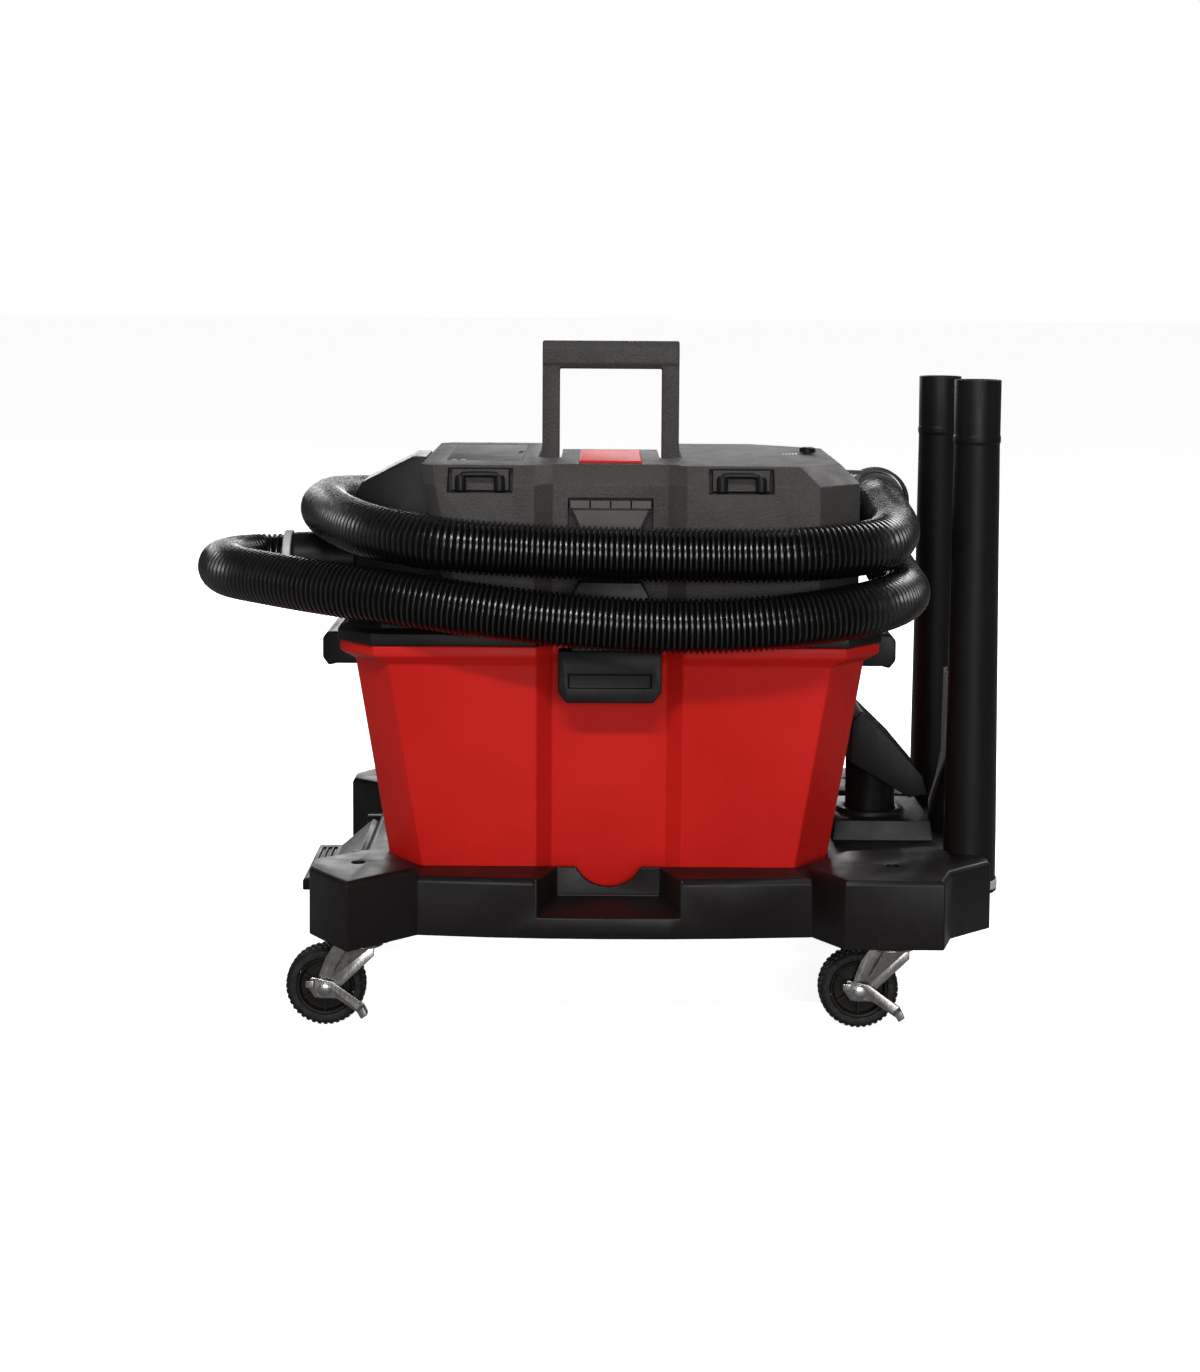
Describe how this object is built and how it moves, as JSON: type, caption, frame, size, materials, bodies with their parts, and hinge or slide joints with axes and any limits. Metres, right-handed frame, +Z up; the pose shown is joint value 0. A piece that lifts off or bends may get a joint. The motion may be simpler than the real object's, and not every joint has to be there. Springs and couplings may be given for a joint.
{
  "type": "shop vacuum",
  "caption": "Battery shop vacuum on a caster cart, with a tapered tank, latched motor head, corrugated hose wound round it, and stored wands and nozzles.",
  "frame": {"origin": "on the floor under the middle of the rigid parts' bounding box, which leaves out the hose and its fittings", "axes": "+X to the right towards the stored wands, +Y to the back, +Z up"},
  "size_m": [0.7921, 0.556, 0.65],
  "materials": {
    "tank_red": "smooth moulded polypropylene, satin sheen",
    "badge_red": "plain glossy label plate",
    "cart_black": "fine grained black polypropylene",
    "head_grey": "coarse grained charcoal polypropylene",
    "trim_black": "satin black plastic",
    "tool_black": "satin black extruded plastic",
    "hose_black": "glossy corrugated polyethylene",
    "strap_rubber": "soft black rubber",
    "tyre_rubber": "moulded rubber tread with rows of small blocks",
    "wheel_black": "black nylon hub",
    "zinc": "bright zinc plated pressed steel",
    "steel": "plain turned steel",
    "filter_paper": "pleated filter paper",
    "battery_black": "black battery housing"
  },
  "bodies": {
    "cart": {"cart_base": "cart_black", "pedal_pin": "steel", "caster_plate_fl": "zinc", "caster_plate_fr": "zinc", "caster_plate_rl": "zinc", "caster_plate_rr": "zinc"},
    "pedal": {"release_pedal": "cart_black"},
    "swivel_fl": {"caster_fork_fl": "zinc", "caster_axle_fl": "steel"},
    "wheel_fl": {"caster_wheel_fl": "wheel_black", "caster_tyre_fl": "tyre_rubber"},
    "brake_fl": {"brake_lever_fl": "zinc"},
    "swivel_fr": {"caster_fork_fr": "zinc", "caster_axle_fr": "steel"},
    "wheel_fr": {"caster_wheel_fr": "wheel_black", "caster_tyre_fr": "tyre_rubber"},
    "brake_fr": {"brake_lever_fr": "zinc"},
    "swivel_rl": {"caster_fork_rl": "zinc", "caster_axle_rl": "steel"},
    "wheel_rl": {"caster_wheel_rl": "wheel_black", "caster_tyre_rl": "tyre_rubber"},
    "swivel_rr": {"caster_fork_rr": "zinc", "caster_axle_rr": "steel"},
    "wheel_rr": {"caster_wheel_rr": "wheel_black", "caster_tyre_rr": "tyre_rubber"},
    "tank": {"tank": "tank_red", "tank_handle_left": "trim_black", "tank_handle_right": "trim_black"},
    "head": {"lid_base": "cart_black", "lid_gasket": "strap_rubber", "head_cover": "head_grey", "side_housing": "cart_black", "handle_rod": "steel", "strap_loop_left": "trim_black", "strap_loop_right": "trim_black", "top_badge": "badge_red", "retaining_strap": "strap_rubber", "front_latch_pin": "steel", "rear_latch_pin": "steel", "battery_bay": "cart_black", "battery_1": "battery_black", "battery_2": "battery_black", "motor": "steel", "filter_cage": "cart_black", "filter_cartridge": "filter_paper", "filter_nut": "trim_black", "hose": "hose_black", "inlet_cuff": "trim_black", "tool_cuff": "head_grey"},
    "front_latch": {"front_latch": "trim_black"},
    "rear_latch": {"rear_latch": "trim_black"},
    "carry_handle": {"carry_handle": "head_grey"},
    "front_paddle": {"front_paddle": "trim_black"},
    "speed_dial": {"speed_dial": "trim_black"},
    "battery_door": {"battery_door": "head_grey"},
    "impeller": {"impeller": "steel"},
    "wand_front": {"wand_front": "tool_black"},
    "wand_rear": {"wand_rear": "tool_black"},
    "crevice_tool": {"crevice_tool": "tool_black"},
    "utility_nozzle": {"utility_nozzle": "tool_black"}
  },
  "joints": [
    {"name": "pedal_press", "type": "hinge", "parent": "cart", "child": "pedal", "pos_m": [-0.286, 0, 0.129], "axis": [0, -1, 0], "range_deg": [0, 8], "stiffness_Nm_per_rad": 2, "springref_deg": -17.19},
    {"name": "swivel_turn_fl", "type": "hinge", "parent": "cart", "child": "swivel_fl", "pos_m": [-0.2755, -0.2, 0.08], "axis": [0, 0, 1], "continuous": true},
    {"name": "wheel_spin_fl", "type": "hinge", "parent": "swivel_fl", "child": "wheel_fl", "pos_m": [-0.3065, -0.2, 0.0382], "axis": [0, 1, 0], "continuous": true},
    {"name": "brake_press_fl", "type": "hinge", "parent": "swivel_fl", "child": "brake_fl", "pos_m": [-0.3065, -0.2, 0.0382], "axis": [0, 1, 0], "range_deg": [0, 20]},
    {"name": "swivel_turn_fr", "type": "hinge", "parent": "cart", "child": "swivel_fr", "pos_m": [0.2334, -0.2, 0.08], "axis": [0, 0, 1], "continuous": true},
    {"name": "wheel_spin_fr", "type": "hinge", "parent": "swivel_fr", "child": "wheel_fr", "pos_m": [0.2024, -0.2, 0.0382], "axis": [0, 1, 0], "continuous": true},
    {"name": "brake_press_fr", "type": "hinge", "parent": "swivel_fr", "child": "brake_fr", "pos_m": [0.2024, -0.2, 0.0382], "axis": [0, 1, 0], "range_deg": [0, 20]},
    {"name": "swivel_turn_rl", "type": "hinge", "parent": "cart", "child": "swivel_rl", "pos_m": [-0.2755, 0.2, 0.08], "axis": [0, 0, 1], "continuous": true},
    {"name": "wheel_spin_rl", "type": "hinge", "parent": "swivel_rl", "child": "wheel_rl", "pos_m": [-0.3065, 0.2, 0.0382], "axis": [0, 1, 0], "continuous": true},
    {"name": "swivel_turn_rr", "type": "hinge", "parent": "cart", "child": "swivel_rr", "pos_m": [0.2334, 0.2, 0.08], "axis": [0, 0, 1], "continuous": true},
    {"name": "wheel_spin_rr", "type": "hinge", "parent": "swivel_rr", "child": "wheel_rr", "pos_m": [0.2024, 0.2, 0.0382], "axis": [0, 1, 0], "continuous": true},
    {"name": "tank_lift", "type": "slide", "parent": "cart", "child": "tank", "axis": [0, 0, 1], "range_m": [0, 0.12]},
    {"name": "head_lift", "type": "slide", "parent": "tank", "child": "head", "axis": [0, 0, 1], "range_m": [0, 0.15]},
    {"name": "front_latch_swing", "type": "hinge", "parent": "head", "child": "front_latch", "pos_m": [-0.037, -0.195, 0.388], "axis": [-1, 0, 0], "range_deg": [0, 20]},
    {"name": "rear_latch_swing", "type": "hinge", "parent": "head", "child": "rear_latch", "pos_m": [-0.037, 0.195, 0.388], "axis": [1, 0, 0], "range_deg": [0, 20]},
    {"name": "handle_fold", "type": "hinge", "parent": "head", "child": "carry_handle", "pos_m": [-0.037, -0.035, 0.52], "axis": [-1, 0, 0], "range_deg": [0, 90]},
    {"name": "paddle_press", "type": "hinge", "parent": "head", "child": "front_paddle", "pos_m": [-0.037, -0.156, 0.4985], "axis": [1, 0, 0], "range_deg": [0, 12], "stiffness_Nm_per_rad": 0.1, "springref_deg": -11.46},
    {"name": "dial_turn", "type": "hinge", "parent": "head", "child": "speed_dial", "pos_m": [0.166, 0.015, 0.54], "axis": [0, 0, 1], "range_deg": [0, 270]},
    {"name": "battery_door_lift", "type": "hinge", "parent": "head", "child": "battery_door", "pos_m": [-0.1987, 0.01, 0.5336], "axis": [0, -1, 0], "range_deg": [0, 100]},
    {"name": "impeller_spin", "type": "hinge", "parent": "head", "child": "impeller", "pos_m": [-0.037, 0, 0.39], "axis": [0, 0, 1], "continuous": true},
    {"name": "wand_front_lift", "type": "slide", "parent": "cart", "child": "wand_front", "axis": [0, 0, 1], "range_m": [0, 0.15]},
    {"name": "wand_rear_lift", "type": "slide", "parent": "cart", "child": "wand_rear", "axis": [0, 0, 1], "range_m": [0, 0.15]},
    {"name": "crevice_tool_lift", "type": "slide", "parent": "cart", "child": "crevice_tool", "axis": [0, 0, 1], "range_m": [0, 0.15]},
    {"name": "utility_nozzle_lift", "type": "slide", "parent": "cart", "child": "utility_nozzle", "axis": [0, 0, 1], "range_m": [0, 0.015]}
  ]
}
